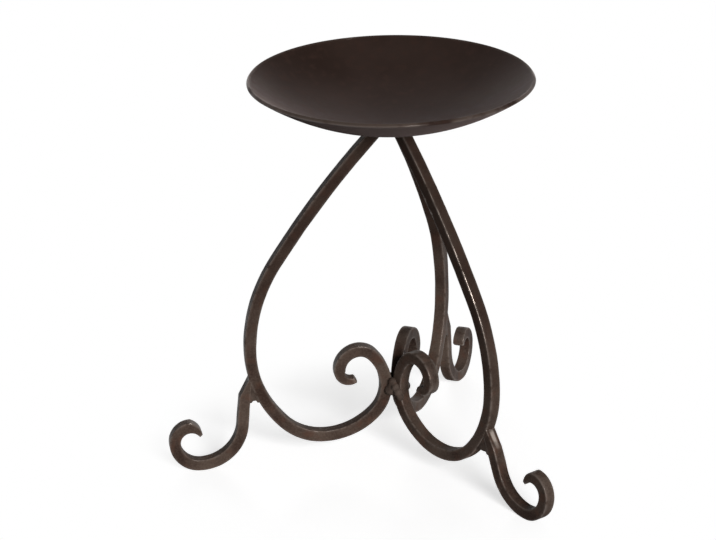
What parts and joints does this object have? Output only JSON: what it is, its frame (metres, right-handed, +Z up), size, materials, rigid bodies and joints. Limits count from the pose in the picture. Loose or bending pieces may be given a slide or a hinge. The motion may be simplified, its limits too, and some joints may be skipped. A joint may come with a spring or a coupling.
{
  "type": "candle holder",
  "caption": "Shallow round dish on scrolled square-bar legs with lapped scrolled feet; stands on a table and holds a pillar candle.",
  "frame": {"origin": "floor level, under the centre of the dish", "axes": "+Z up along the dish's axis; +Y towards the rear leg, the one behind the stand in the picture; +X towards the right leg's side"},
  "size_m": [0.2188, 0.2006, 0.2159],
  "materials": {
    "dish_iron": "dark brown patina on sheet steel, satin",
    "bar_iron": "dark brown patina on forged square bar, semi-gloss with rubbed edges",
    "weld_iron": "dark brown patina over rough weld"
  },
  "bodies": {
    "root": {"dish": "dish_iron", "dish_weld": "weld_iron", "hub_weld": "weld_iron", "rear_leg": "bar_iron", "rear_foot": "bar_iron", "rear_lap_weld": "weld_iron", "left_leg": "bar_iron", "left_foot": "bar_iron", "left_lap_weld": "weld_iron", "right_leg": "bar_iron", "right_foot": "bar_iron", "right_lap_weld": "weld_iron"}
  },
  "joints": []
}
